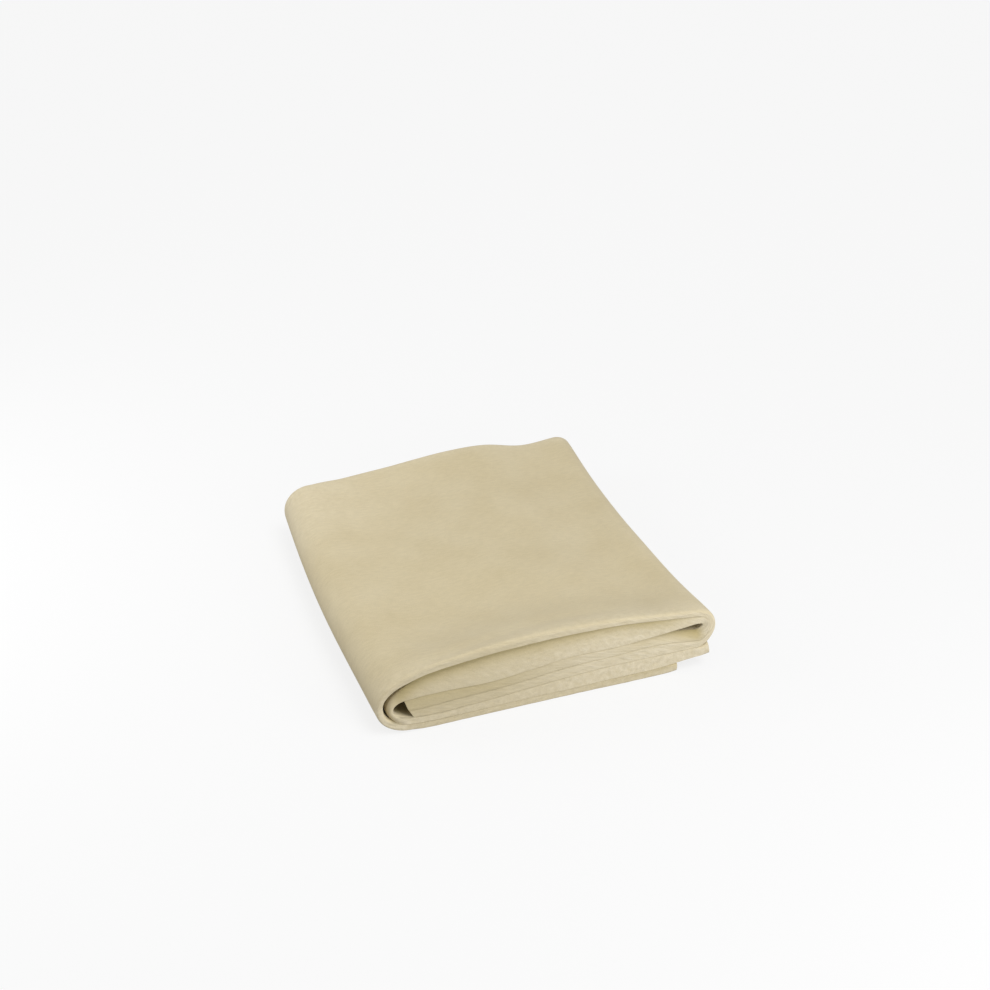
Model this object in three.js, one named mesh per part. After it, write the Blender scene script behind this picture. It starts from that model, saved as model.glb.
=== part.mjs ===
// A chamois leather, folded for the shelf, in millimetres, with +Z up.
// X runs from the left turn to the right turn, Y from the front edge to the back, and the origin is on the
// surface that it lies on, under the middle of its outline.
//
// How the skin is folded. It is one sheet of leather. Its two long edges are first folded in to the middle,
// and then it is folded along the middle, so that it becomes a strip of four plies: an outer leaf and an inner
// leaf, each with a soft fold along the front, and both joined by one fold along the back. The strip is then
// wound in three: a bottom panel, the left turn, a top panel, the right turn, and a panel tucked inside.
// So every piece below is a stretch of one path, the way along the strip, with one of three sections across it.
import * as THREE from "three";

// The outline of the folded leather
const width = 160;
const depth = 175;

// The leather, and the air that its soft folds hold
const ply = 1.3;
const slit = 0.3; // between the two plies of a leaf where they are pressed together
const loft = 2; // what the nap and the fold add to a leaf, times the shares below
const layerGap = 0.3; // between leaves that lie on each other
const joinGap = 0.3; // between two neighbouring pieces of the skin

// The left turn, from its eye outwards
const leftEyeReach = 5.1;
const leftInnerSlack = 1.0;
const leftOuterSlack = 0.7;
const leftSideGap = 1.0;
const leftTopGap = 1.2; // the crescent between the two leaves, over the left turn
const leftLift = 1.0; // how far the bottom panel leaves the surface where that turn begins

// The right turn
const rightEyeReach = 3.0;
const rightEyeHeight = 4.4;
const rightSkew = 0.08; // how much more its upper half swings out than its lower half

// The cut ends of the strip
const innerEndInset = 1.4; // from the right turn's outside back to the inner leaf's end
const endStagger = 15.8; // the outer leaf ends this much shorter, because it took the wider turn
const tongueInset = 14.6; // from the left turn's outside to the tucked panel's end
const tongueSlant = 3; // and the end slants, so that its underside is this much shorter

// The folds along the front and the back
const frontReach = 2.4; // how far a front fold's rounding comes forward
const backReach = 5.2;
const backSeam = 9; // from the back edge to where the leaves meet the back fold
const rawEdgeInset = 2.5; // the hidden raw edges stop this much before it
const backCornerInset = 0.8; // the back edge is drawn in where the strip turns
const frontFall = 20; // how far in from an edge the loft changes
const backSwell = 0.09; // how much thicker the leaves are along the back

// The outline isn't quite square, as a hand folds it
const leftBulge = 3.1;
const leftIn = 1.4;
const rightWaist = 2.4;
const rightBackIn = 2.2;
const rightBackShare = 0.6; // of the depth, by which the right side has drawn in that far

// Rows of values at nine places across the width, from the left turn to the right turn
const placeShares = [0, 0.055, 0.13, 0.28, 0.41, 0.55, 0.71, 0.86, 1];

// How far each front fold lies behind the front edge, where a minus sign puts it further out
const frontInsets = {
  bottomOuter: [0.6, 0.6, 0.6, 0.6, 0.7, 0.7, 0.6, 0.5, 0.6],
  bottomInner: [0.8, 0.8, 0.7, 0.6, 0.5, 0.3, 0.1, 0, 0],
  tuckedOuter: [1.8, 1.7, 1.6, 1.4, 1.2, 1.0, 0.8, 0.7, 0.7],
  tuckedInner: [2.3, 2.3, 2.2, 2.1, 1.8, 1.4, 1.0, 0.9, 1.0],
  topInner: [2.3, 2.1, 1.8, 1.4, 1.3, 1.2, 1.1, 1.0, 1.1],
  topOuter: [1.8, 1.7, 1.6, 1.5, 1.4, 1.3, 1.1, 0.9, 0.9],
};
const topUndercut = [0.5, 1.0, 1.4, 1.7, 1.5, 1.0, 0.6, 0.4, 0.3]; // the top inner leaf draws back below the lip

// Loft shares of the leaves in their front folds, and further in
const frontShares = {
  bottomOuter: [0, 0, 0.05, 0.2, 0.35, 0.45, 0.5, 0.55, 1.1],
  bottomInner: [0, 0, 0, 0.55, 1.1, 1.9, 2.6, 2.35, 1.45],
  tuckedOuter: [0.3, 0.6, 0.9, 0.6, 0.7, 1.3, 1.25, 0.35, 0],
  tuckedInner: [0.35, 0.85, 0.95, 0.65, 0.8, 1.2, 1.2, 1.15, 0.65],
  topInner: [2.6, 3.85, 4.8, 5.8, 5.3, 3.45, 2.2, 2.25, 0.55],
  topOuter: [0.55, 0.6, 0.6, 0.6, 0.6, 0.6, 0.55, 0.45, 0.25],
};
const restShares = {
  bottomOuter: [0, 0, 0, 0.1, 0.2, 0.25, 0.25, 0.3, 0.55],
  bottomInner: [0, 0, 0, 0.3, 0.65, 1.15, 1.55, 1.35, 0.95],
  tuckedOuter: [0.25, 0.45, 0.55, 0.45, 0.5, 0.75, 0.75, 0.25, 0],
  tuckedInner: [0.25, 0.6, 0.65, 0.55, 0.6, 0.8, 0.85, 0.75, 0.5],
  topInner: [1.85, 1.95, 2.05, 2.65, 3.05, 2.45, 1.65, 1.35, 0.45],
  topOuter: [0.45, 0.45, 0.4, 0.35, 0.35, 0.35, 0.35, 0.3, 0.2],
};
const liftShares = [1, 0.3, 0, 0, 0, 0, 0, 0, 0];
const topGapShares = [1, 0.5, 0.17, 0, 0, 0, 0, 0, 0];
const rightEyeShares = [0, 0, 0, 0, 0, 0, 0, 0.07, 1];

// How finely the soft shapes are cut into faces
const panelSteps = 9;
const halfTurnSteps = 4;
const turnSteps = 7;
const bendSteps = 6;
const rowShares = [0.06, 0.12, 0.2, 0.42, 0.75]; // of the depth, between the front fold and the back seam

// Worked out from these
const left = -width / 2;
const right = width / 2;
const front = -depth / 2;
const back = depth / 2;
const leafLeast = 2 * ply + slit;
const leftReaches = [0, 0, 0, 0];
leftReaches[3] = leftEyeReach;
leftReaches[2] = leftReaches[3] + leafLeast + leftInnerSlack;
leftReaches[1] = leftReaches[2] + layerGap + leftSideGap;
leftReaches[0] = leftReaches[1] + leafLeast + leftOuterSlack;
const rightReaches = [0, 0, 0, 0];
rightReaches[3] = rightEyeReach;
rightReaches[2] = rightReaches[3] + leafLeast;
rightReaches[1] = rightReaches[2] + layerGap;
rightReaches[0] = rightReaches[1] + leafLeast;
const leftTurnX = left + leftReaches[0];
const rightTurnX = right - rightReaches[0];
const innerEndX = right - innerEndInset;
const outerEndX = innerEndX - endStagger;
const tongueEnds = [1, 0.6, 0.33, 0].map((share) => left + tongueInset + tongueSlant * share);
const seamY = back - backSeam;

const mix = (a, b, t) => a + (b - a) * t;
const smooth = (t) => t * t * (3 - 2 * t);

// A row's slope at one of its places: that of the line between the neighbouring places.
function slopeAt(row, i) {
  const before = Math.max(i - 1, 0);
  const after = Math.min(i + 1, row.length - 1);
  return (row[after] - row[before]) / (placeShares[after] - placeShares[before]);
}

// A row of values, carried between its places by cubic curves that keep those slopes.
function across(row, x) {
  const place = THREE.MathUtils.clamp((x - leftTurnX) / (rightTurnX - leftTurnX), 0, 1);
  let i = 0;
  while (i < placeShares.length - 2 && place > placeShares[i + 1]) i += 1;
  const step = placeShares[i + 1] - placeShares[i];
  const t = (place - placeShares[i]) / step;
  const bend = t * (1 - t) * step * ((1 - t) * slopeAt(row, i) - t * slopeAt(row, i + 1));
  return mix(row[i], row[i + 1], smooth(t)) + bend;
}

const bell = (distance) => Math.exp(-((distance / frontFall) ** 2));

// The heights of the stack at a place, from the surface up: each leaf's underside and top.
function stackAt(x, y) {
  const nearFront = bell(y - front);
  const swell = 1 + backSwell * bell(back - y);
  const stack = {};
  let z = leftLift * across(liftShares, x);
  const lay = (name) => {
    const rest = swell * (leafLeast + loft * across(restShares[name], x));
    const thick = mix(rest, leafLeast + loft * across(frontShares[name], x), nearFront);
    stack[name] = [z, z + thick];
    z += thick + layerGap;
  };
  ["bottomOuter", "bottomInner", "tuckedOuter", "tuckedInner"].forEach(lay);
  z += rightEyeHeight * across(rightEyeShares, x);
  lay("topInner");
  z += leftTopGap * across(topGapShares, x);
  lay("topOuter");
  return stack;
}

// The strip has four faces, numbered from its outside in: the outer leaf lies between faces 0 and 1, and the
// inner leaf between faces 2 and 3. These are their heights in each panel.
const panelFaces = {
  bottom: (s) => [s.bottomOuter[0], s.bottomOuter[1], s.bottomInner[0], s.bottomInner[1]],
  top: (s) => [s.topOuter[1], s.topOuter[0], s.topInner[1], s.topInner[0]],
  tucked: (s) => [s.tuckedOuter[0], s.tuckedOuter[1], s.tuckedInner[0], s.tuckedInner[1]],
};
const panelEnds = {
  bottom: [leftTurnX + joinGap, [outerEndX, outerEndX, innerEndX, innerEndX]],
  top: [leftTurnX + joinGap, Array(4).fill(rightTurnX - joinGap)],
  tucked: [rightTurnX - joinGap, tongueEnds],
};

// A point of one face, at a share t of the way along a piece of the strip, as [x, z].
function panelPoint(panel, t, face, y) {
  const [start, ends] = panelEnds[panel];
  const x = mix(start, ends[face], t);
  return [x, panelFaces[panel](stackAt(x, y))[face]];
}

// In a turn each face is about half an ellipse, which joins its height in one panel to its height in the next.
// A cubic is added at either end, so that the slope of the panel that it meets goes on in it.
function turnPoint(centreX, reach, skew, panels, t, face, y) {
  const inside = Math.sign(-centreX) * joinGap;
  const ends = panels.map((panel) => {
    const height = panelFaces[panel](stackAt(centreX, y))[face];
    return [height, (panelFaces[panel](stackAt(centreX + inside, y))[face] - height) / inside];
  });
  const pace = Math.PI * reach;
  const swing = Math.sin(Math.PI * t) + skew * Math.sin(2 * Math.PI * t);
  const rise = mix(ends[0][0], ends[1][0], (1 - Math.cos(Math.PI * t)) / 2);
  const bend = pace * t * (1 - t) * (ends[0][1] * (1 - t) + ends[1][1] * t);
  return [centreX + reach * swing, rise + bend];
}

const leftPath = (t, face, y) => turnPoint(leftTurnX, -leftReaches[face], 0, ["bottom", "top"], t, face, y);

// The left turn parts along a plane that runs from the outside of the leather, at half the height of the
// stack's tallest place, down to the middle of the turn's eye. The upper half swings over on the outside end of
// that plane, and so comes to lie flat beside the lower half.
const placeHeights = placeShares.map(
  (share) => stackAt(mix(leftTurnX, rightTurnX, share), front + frontReach).topOuter[1],
);
const hingeZ = Math.max(...placeHeights) / 2;
const eyeStack = stackAt(leftTurnX, front + frontReach);
const eyeZ = (eyeStack.bottomInner[1] + eyeStack.topInner[0]) / 2;
const partingSlant = Math.atan2(hingeZ - eyeZ, leftReaches[0] - leftReaches[3]);

// The share of the way round the turn where a face meets one side of that plane, found by halving.
function partingShare(face, y, side) {
  let [below, above] = [0.15, 0.95];
  for (let i = 0; i < 24; i += 1) {
    const middle = (below + above) / 2;
    const [x, z] = leftPath(middle, face, y);
    const over = (z - hingeZ) * Math.cos(partingSlant) + (x - left) * Math.sin(partingSlant);
    if (over < (side * joinGap) / 2) below = middle;
    else above = middle;
  }
  return (below + above) / 2;
}

function leftTurnPoint(t, face, y, upper) {
  const parting = partingShare(face, y, upper ? 1 : -1);
  return leftPath(upper ? mix(parting, 1, t) : parting * t, face, y);
}

function rightTurnPoint(t, face, y) {
  return turnPoint(rightTurnX, rightReaches[face], rightSkew, ["top", "tucked"], t, face, y);
}

// The leather is folded by hand: the left side bulges between its two corners, and the right side is drawn in.
function byHand(x, y, z) {
  const along = THREE.MathUtils.clamp((y - front) / depth, 0, 1);
  const place = (x - left) / width;
  const bow = Math.sin(Math.PI * along);
  const leftShift = leftIn - leftBulge * bow;
  const rightShift = -rightBackIn * smooth(Math.min(along / rightBackShare, 1)) - rightWaist * bow;
  return new THREE.Vector3(x + mix(leftShift, rightShift, place), y, z);
}

// The section of a leaf, from its outer or lower ply's back end, round the front fold, to the other ply's
// back end, and back through the slit. Each point is [y, share of the leaf, plies inwards from that face].
function leafSection(frontInset, undercut, backInset, longPlyFirst) {
  const bendY = front + frontInset + frontReach;
  const longEnd = seamY - backInset;
  const firstEnd = longPlyFirst ? longEnd : longEnd - rawEdgeInset;
  const secondEnd = longPlyFirst ? longEnd - rawEdgeInset : longEnd;
  const rows = (end) => [bendY, ...rowShares.map((share) => front + share * depth), end];
  const bend = (reach, inward) => {
    const points = [];
    for (let i = 1; i < bendSteps; i += 1) {
      const angle = (Math.PI * i) / bendSteps;
      const share = (1 - Math.cos(angle)) / 2;
      const out = reach - undercut * (1 - share) ** 2;
      points.push([bendY - out * Math.sin(angle), share, inward * Math.cos(angle)]);
    }
    return points;
  };
  return [
    ...rows(firstEnd).reverse().map((y) => [y, 0, 0]),
    ...bend(frontReach, 0),
    ...rows(secondEnd).map((y) => [y, 1, 0]),
    ...rows(secondEnd).reverse().map((y) => [y, 1, -1]),
    ...bend(frontReach - ply, 1).reverse(),
    ...rows(firstEnd).map((y) => [y, 0, 1]),
  ];
}

// The section of the back fold, which joins the outermost ply to the innermost.
function backSection(inset) {
  const bendY = back - inset - backReach;
  const startY = seamY - inset + joinGap;
  const bend = (reach, inward) => {
    const points = [];
    for (let i = 0; i <= bendSteps; i += 1) {
      const angle = (Math.PI * i) / bendSteps;
      points.push([bendY + reach * Math.sin(angle), (1 - Math.cos(angle)) / 2, inward * Math.cos(angle)]);
    }
    return points;
  };
  return [
    [startY, 0, 0],
    ...bend(backReach, 0),
    [startY, 1, 0],
    [startY, 1, -1],
    ...bend(backReach - ply, 1).reverse(),
    [startY, 0, 1],
  ];
}

// Carries a section along a piece of the strip, between two of its faces. A section goes out along the
// leather and comes back inside it, so each end is closed by quads between its two halves.
function carried(pointOf, faces, sectionAt, steps) {
  const positions = [];
  const indices = [];
  let section = [];
  for (let i = 0; i <= steps; i += 1) {
    const t = i / steps;
    section = sectionAt(t);
    for (const [y, share, inward] of section) {
      const [xa, za] = pointOf(t, faces[0], y);
      const [xb, zb] = pointOf(t, faces[1], y);
      const at = share + (inward * ply) / Math.hypot(xb - xa, zb - za);
      positions.push(...byHand(mix(xa, xb, at), y, mix(za, zb, at)).toArray());
    }
  }
  // Each quad is cut from its front corner, so that leaves that lie on each other bend along the same lines.
  const count = section.length;
  for (let i = 0; i < steps; i += 1) {
    for (let j = 0; j < count; j += 1) {
      const next = (j + 1) % count;
      const [a, b] = [i * count + j, i * count + next];
      if (section[next][0] > section[j][0]) indices.push(a, b, b + count, a, b + count, a + count);
      else indices.push(a, b, a + count, b, b + count, a + count);
    }
  }
  const last = steps * count;
  for (let j = 0; j < count / 2 - 1; j += 1) {
    const quad = [j, j + 1, count - 2 - j, count - 1 - j];
    const [a, b, c, d] = quad;
    indices.push(a, c, b, a, d, c);
    const [e, f, g, h] = quad.map((corner) => corner + last);
    indices.push(e, f, g, e, g, h);
  }
  const geometry = new THREE.BufferGeometry();
  geometry.setAttribute("position", new THREE.Float32BufferAttribute(positions, 3));
  geometry.setIndex(indices);
  return faceOutwards(geometry);
}

// Turns a closed geometry's triangles round if it came out inside out.
function faceOutwards(geometry) {
  const p = geometry.getAttribute("position");
  const index = geometry.getIndex();
  const [a, b, c] = [new THREE.Vector3(), new THREE.Vector3(), new THREE.Vector3()];
  let volume = 0;
  for (let i = 0; i < index.count; i += 3) {
    a.fromBufferAttribute(p, index.getX(i));
    b.fromBufferAttribute(p, index.getX(i + 1));
    c.fromBufferAttribute(p, index.getX(i + 2));
    volume += a.dot(b.cross(c));
  }
  if (volume < 0) {
    for (let i = 0; i < index.count; i += 3) {
      const second = index.getX(i + 1);
      index.setX(i + 1, index.getX(i + 2));
      index.setX(i + 2, second);
    }
  }
  geometry.computeVertexNormals();
  return geometry;
}

// The stretches of the strip, in order. Each names the panels that its front folds run between, and how much
// of that way it covers. A turn also draws the back edge in.
const stretches = [
  {
    name: "bottom_panel",
    pointOf: (t, face, y) => panelPoint("bottom", 1 - t, face, y),
    steps: panelSteps,
    panels: ["bottom", "bottom"],
    covers: [0, 0],
  },
  {
    name: "left_turn_lower",
    pointOf: (t, face, y) => leftTurnPoint(t, face, y, false),
    steps: halfTurnSteps,
    panels: ["bottom", "top"],
    covers: [0, 0.5],
  },
  {
    name: "left_turn_upper",
    pointOf: (t, face, y) => leftTurnPoint(t, face, y, true),
    steps: halfTurnSteps,
    panels: ["bottom", "top"],
    covers: [0.5, 1],
  },
  {
    name: "top_panel",
    pointOf: (t, face, y) => panelPoint("top", t, face, y),
    steps: panelSteps,
    panels: ["top", "top"],
    covers: [0, 0],
  },
  {
    name: "right_turn",
    pointOf: rightTurnPoint,
    steps: turnSteps,
    panels: ["top", "tucked"],
    covers: [0, 1],
  },
  {
    name: "tucked_panel",
    pointOf: (t, face, y) => panelPoint("tucked", t, face, y),
    steps: panelSteps,
    panels: ["tucked", "tucked"],
    covers: [0, 0],
  },
];

const chamois = new THREE.Group();
for (const { name, pointOf, steps, panels, covers } of stretches) {
  const wayAt = (t) => mix(covers[0], covers[1], t);
  const backInsetAt = (t) => backCornerInset * Math.sin(Math.PI * wayAt(t));
  const leafAt = (t, leaf, face) => {
    const [x] = pointOf(t, face, front + frontReach);
    const [from, to] = panels.map((panel) => across(frontInsets[panel + leaf], x));
    const undercuts = panels.map((panel) => (panel + leaf === "topInner" ? across(topUndercut, x) : 0));
    const way = smooth(wayAt(t));
    return leafSection(mix(from, to, way), mix(undercuts[0], undercuts[1], way), backInsetAt(t), face === 0);
  };
  const pieces = {
    outer_leaf: [[0, 1], (t) => leafAt(t, "Outer", 0)],
    inner_leaf: [[2, 3], (t) => leafAt(t, "Inner", 3)],
    back_fold: [[0, 3], (t) => backSection(backInsetAt(t))],
  };
  for (const [kind, [faces, sectionAt]] of Object.entries(pieces)) {
    const leather = new THREE.MeshStandardMaterial({ color: 0xd2c6a2, roughness: 0.95, metalness: 0 });
    const piece = new THREE.Mesh(carried(pointOf, faces, sectionAt, steps), leather);
    piece.name = `${name}_${kind}`;
    chamois.add(piece);
  }
}

// The origin is under the middle of the outline.
const outline = new THREE.Box3().setFromObject(chamois);
chamois.position.set(-(outline.min.x + outline.max.x) / 2, -(outline.min.y + outline.max.y) / 2, -outline.min.z);

export default chamois;
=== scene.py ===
# %% [markdown]
# # A folded chamois leather
# A chamois is a single skin of soft buff leather with a short fuzzy nap. For the shelf its two long edges
# are folded in to the middle, it is folded along the middle, and the strip is wound in three. The bundle is
# never modelled as a block here. One function says where the faces of every leaf lie, a second one says
# how the skin runs across the strip, and the mesh is that skin, with its real thickness, all the way from
# the cut end under the bundle to the end that shows in the eye of the left turn.

import math

import bpy
import numpy as np
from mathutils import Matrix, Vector


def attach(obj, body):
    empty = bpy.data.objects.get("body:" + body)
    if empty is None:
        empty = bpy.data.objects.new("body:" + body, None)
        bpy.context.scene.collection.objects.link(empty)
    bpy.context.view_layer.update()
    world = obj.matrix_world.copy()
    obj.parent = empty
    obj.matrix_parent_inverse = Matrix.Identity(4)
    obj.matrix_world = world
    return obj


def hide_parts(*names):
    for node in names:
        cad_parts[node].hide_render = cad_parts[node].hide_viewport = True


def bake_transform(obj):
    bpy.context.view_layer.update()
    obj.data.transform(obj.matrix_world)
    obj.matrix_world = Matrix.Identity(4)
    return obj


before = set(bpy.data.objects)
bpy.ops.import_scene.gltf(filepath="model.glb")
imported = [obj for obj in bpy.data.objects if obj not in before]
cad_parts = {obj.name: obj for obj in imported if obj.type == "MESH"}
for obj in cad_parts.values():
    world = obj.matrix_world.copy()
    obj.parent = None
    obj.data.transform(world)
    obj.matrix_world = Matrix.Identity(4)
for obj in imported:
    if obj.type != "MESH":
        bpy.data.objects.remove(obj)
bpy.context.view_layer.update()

# %% [markdown]
# ## The camera
# The viewpoint comes first, because every other choice is judged through it. It was found by fitting the
# bundle's corners: the lens looks down by about 31 degrees, from the front and a little to the left. A real
# size in metres and a lens in millimetres give the same perspective as a photograph from that spot.

# %% Camera at the viewing angle
MM = 0.001
SENSOR = 36.0
FRAME_PIXELS = 990
FOCAL_PIXELS = 1594
CAMERA_AT = Vector((-208.85, -604.2, 445.6)) * MM
CAMERA_YAW = math.radians(19.6)
CAMERA_PITCH = math.radians(31.3)

camera_data = bpy.data.cameras.new("camera")
camera_data.sensor_width = SENSOR
camera_data.lens = FOCAL_PIXELS * SENSOR / FRAME_PIXELS
camera = bpy.data.objects.new("camera", camera_data)
bpy.context.scene.collection.objects.link(camera)
camera.location = CAMERA_AT
camera.rotation_euler = (math.pi / 2 - CAMERA_PITCH, 0, -CAMERA_YAW)
bpy.context.scene.camera = camera
print("lens, mm:", round(camera_data.lens, 2))

# %% [markdown]
# ## How the strip is wound
# Seen from the front, the strip is a flat spiral: bottom panel, left turn, top panel, right turn, tucked
# panel. It has two leaves of two plies each, so it has four faces, numbered from its outside in. Each face
# follows the same spiral at its own height. In a panel that height is the running sum of what lies below,
# and in a turn it follows half an ellipse from one panel's height to the next one's. Two tables of
# thicknesses across the width, one at the front folds and one at rest further in, say how much air each
# soft leaf holds, which gives the gentle arches of the stack.

# %% Sizes of the skin and of the bundle
WIDTH = 160 * MM
DEPTH = 175 * MM
PLY = 1.3 * MM
SLIT = 0.3 * MM  # between the two plies of a leaf, where they are pressed together
LAYER_GAP = 0.3 * MM
NAP = 0.13 * MM  # how far the nap on each face reaches into that gap
MERGED_NAP = 0.02 * MM  # how much further at the front, where neighbouring folds look grown together
MERGED_NAP_FALL = 5 * MM
LEAF = 2 * PLY + SLIT

LEFT, RIGHT = -WIDTH / 2, WIDTH / 2
FRONT, BACK = -DEPTH / 2, DEPTH / 2
LEFT_REACHES = np.array([13.9, 10.4, 8.7, 5.8]) * MM  # how far faces 0 to 3 swing out in the left turn
RIGHT_REACHES = np.array([9.3, 6.32, 6.3, 3.3]) * MM
LEFT_TURN = LEFT + LEFT_REACHES[0]
RIGHT_TURN = RIGHT - 8.7 * MM
BOTTOM_ENDS = RIGHT - np.array([17.7, 17.7, 1.6, 2.8]) * MM  # where faces 0 to 3 of the bottom panel end
TUCKED_ENDS = LEFT + np.array([16.7, 14.9, 14.7, 13.0]) * MM  # and where those of the tucked panel end
SEAM = BACK - 9 * MM  # where the leaves meet the back fold
RAW_EDGE = SEAM - 2.5 * MM

PLACES = np.array([0, 0.055, 0.13, 0.28, 0.41, 0.55, 0.71, 0.86, 1])  # from the left turn to the right one
FRONT_THICKNESSES = {
    "bottom_outer": [2.9, 2.9, 3.0, 3.3, 3.6, 3.8, 3.9, 4.2, 6.0],
    "bottom_inner": [2.9, 2.9, 2.9, 4.0, 5.1, 6.5, 7.3, 6.9, 4.9],
    "tucked_outer": [3.1, 3.7, 4.4, 4.1, 4.3, 4.9, 4.9, 5.6, 3.3],
    "tucked_inner": [4.8, 5.6, 5.4, 4.2, 4.5, 4.8, 4.0, 5.2, 4.8],
    "top_inner": [6.1, 9.4, 11.9, 14.4, 13.5, 11.4, 10.7, 6.8, 3.5],
    "top_outer": [4.0, 4.1, 4.1, 4.1, 4.1, 3.8, 3.2, 2.9, 2.9],
}
REST_THICKNESSES = {
    "bottom_outer": [2.9, 2.9, 2.9, 3.1, 3.3, 3.4, 3.4, 3.5, 4.0],
    "bottom_inner": [2.9, 2.9, 2.9, 3.5, 4.2, 5.2, 6.0, 5.6, 4.8],
    "tucked_outer": [3.4, 3.8, 4.0, 3.8, 3.9, 4.4, 4.4, 3.4, 2.9],
    "tucked_inner": [3.4, 4.1, 4.2, 4.0, 4.1, 4.5, 4.6, 4.4, 4.3],
    "top_inner": [5.4, 6.2, 6.7, 8.1, 9.0, 8.1, 6.9, 5.2, 3.2],
    "top_outer": [3.8, 3.8, 3.7, 3.6, 3.6, 3.6, 3.6, 3.5, 3.3],
}
LEFT_LIFT = [1.0, 0.3, 0, 0, 0, 0, 0, 0, 0]  # the bottom panel leaves the shelf before the left turn
LEFT_GAP = [2.6, 1.3, 0.5, 0.1, 0, 0, 0, 0, 0]  # the top panel's two leaves part towards the left turn
RIGHT_EYE = [0, 0, 0, 0, 0, 0, 0, 0, 4.2]  # the air inside the right turn, over the tucked panel
RIGHT_SKEW = 0.08  # how much more the right turn's upper half swings out than its lower half
END_RISE = 2.0 * MM  # how far the bottom panel's free end stands up beside the right turn
END_RISES_FROM, END_RISES_TO = RIGHT_TURN + 2.7 * MM, RIGHT_TURN + 7.2 * MM
print("leaf, mm:", LEAF / MM, "least height of six leaves, mm:", round(6 * LEAF / MM, 1))


# %% Smooth helpers
def smooth(t):
    """Eases from 0 to 1: three t squared less two t cubed."""
    return t * t * (3 - 2 * t)


def ramp(value, low, high):
    """Eases from 0 at low to 1 at high, and stays level before and after."""
    return smooth(np.clip((value - low) / (high - low), 0, 1))


def mix(a, b, t):
    """A straight blend: a at t 0 and b at t 1."""
    return a + (b - a) * t


def across(row, x):
    """A row of sizes in mm, given at the places across the width, joined by cubic curves: each runs from
    one place to the next, and its slope at a place is that of the line between its two neighbours."""
    row = np.asarray(row, float) * MM
    slopes = np.gradient(row, PLACES)
    slopes[1:-1] = (row[2:] - row[:-2]) / (PLACES[2:] - PLACES[:-2])
    place = np.clip((x - LEFT_TURN) / (RIGHT_TURN - LEFT_TURN), 0, 1)
    i = np.clip(np.searchsorted(PLACES, place, side="right") - 1, 0, len(PLACES) - 2)
    step = PLACES[i + 1] - PLACES[i]
    t = (place - PLACES[i]) / step
    bend = t * (1 - t) * step * ((1 - t) * slopes[i] - t * slopes[i + 1])
    straight = smooth(t) * (row[i + 1] - row[i])
    return row[i] + straight + bend


def ripple(u, v, wave, seed, count=14):
    """A smooth random field of about unit height: a sum of sine waves in random directions, whose lengths
    lie around wave."""
    draw = np.random.default_rng(seed)
    total = np.zeros(np.broadcast(u, v).shape)
    for _ in range(count):
        angle, phase = draw.uniform(0, 2 * np.pi, 2)
        pitch = 2 * np.pi / (wave * draw.uniform(0.7, 1.6))
        total += np.sin(pitch * (np.cos(angle) * u + np.sin(angle) * v) + phase)
    return total / math.sqrt(count / 2) / 1.6


# %% [markdown]
# ## Heights of the stack
# The leaves are pressed thin in the middle of the bundle and keep their air at the rounded front folds, so
# the loft is a bell curve of the distance from the edge. A few slow ripples make every leaf swell and thin
# a little, as hand-folded leather does. Because the ripples act on thicknesses, and not on heights, the
# leaves can never cross each other.

# %% Heights of the leaves
LOFT_FALL = 20 * MM  # how far in from an edge the leaves keep their air
BACK_SWELL = 0.09  # how much a leaf swells at the back, as a share
HAND_SWELL = 0.035  # how much a leaf's thickness varies from place to place, as a share
HAND_SWELL_LENGTH = 60 * MM
TROUGH = [0.3, 0.6, 0.8, 0.9, 0.8, 0.8, 0.5, 0.1, 0]  # the soft groove behind the top panel's front fold
TROUGH_BACK = [3.5, 4.0, 5.5, 8.0, 10.5, 12.0, 11.0, 11.0, 11.0]  # how far behind the fold it runs
TROUGH_WIDTH = 4.0 * MM


def bell(distance, width):
    """A bell curve: 1 at distance 0, falling to 1/e at the width."""
    return np.exp(-((distance / width) ** 2))


def nap_at(y):
    """How far the nap of a face reaches: a little further near the front."""
    return NAP + MERGED_NAP * bell(y - FRONT, MERGED_NAP_FALL)


def stack_at(x, y):
    """The height of each leaf's underside and top at a place: a running sum of thicknesses and gaps. Near
    the front a thickness comes from the front's table, further in from the table of rest, and it swells
    a little at the back."""
    front = bell(y - FRONT, LOFT_FALL)
    back = 1 + BACK_SWELL * bell(BACK - y, LOFT_FALL)
    stack, z = {}, across(LEFT_LIFT, x) + 0 * y
    for seed, name in enumerate(FRONT_THICKNESSES):
        if name == "top_inner":
            z = z + across(RIGHT_EYE, x)
        if name == "top_outer":
            z = z + across(LEFT_GAP, x)
        rest = across(REST_THICKNESSES[name], x)
        swell = 1 + HAND_SWELL * ripple(x, y, HAND_SWELL_LENGTH, seed + 3) * (1 - front)
        thick = mix(rest * back * swell, across(FRONT_THICKNESSES[name], x), front)
        if name == "top_outer":
            thick = thick - across(TROUGH, x) * bell(y - FRONT - across(TROUGH_BACK, x), TROUGH_WIDTH)
        end_rise = END_RISE * ramp(x, END_RISES_FROM, END_RISES_TO)
        top = z + thick + nap_at(y) + (end_rise if name == "bottom_inner" else 0)
        stack[name] = (np.maximum(z - nap_at(y), 0), top)
        z = z + thick + LAYER_GAP
    return stack


heights = [stack_at(0, y)["top_outer"][1] / MM for y in (FRONT, 0)]
print("height of the stack at the front and further in, mm:", np.round(heights, 2))


def panel_faces(stack, panel):
    """The heights of faces 0 to 3 in a panel. The top panel lies the other way up, so it counts down."""
    outer, inner = stack[panel + "_outer"], stack[panel + "_inner"]
    if panel == "top":
        return [outer[1], outer[0], inner[1], inner[0]]
    return [outer[0], outer[1], inner[0], inner[1]]


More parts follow.
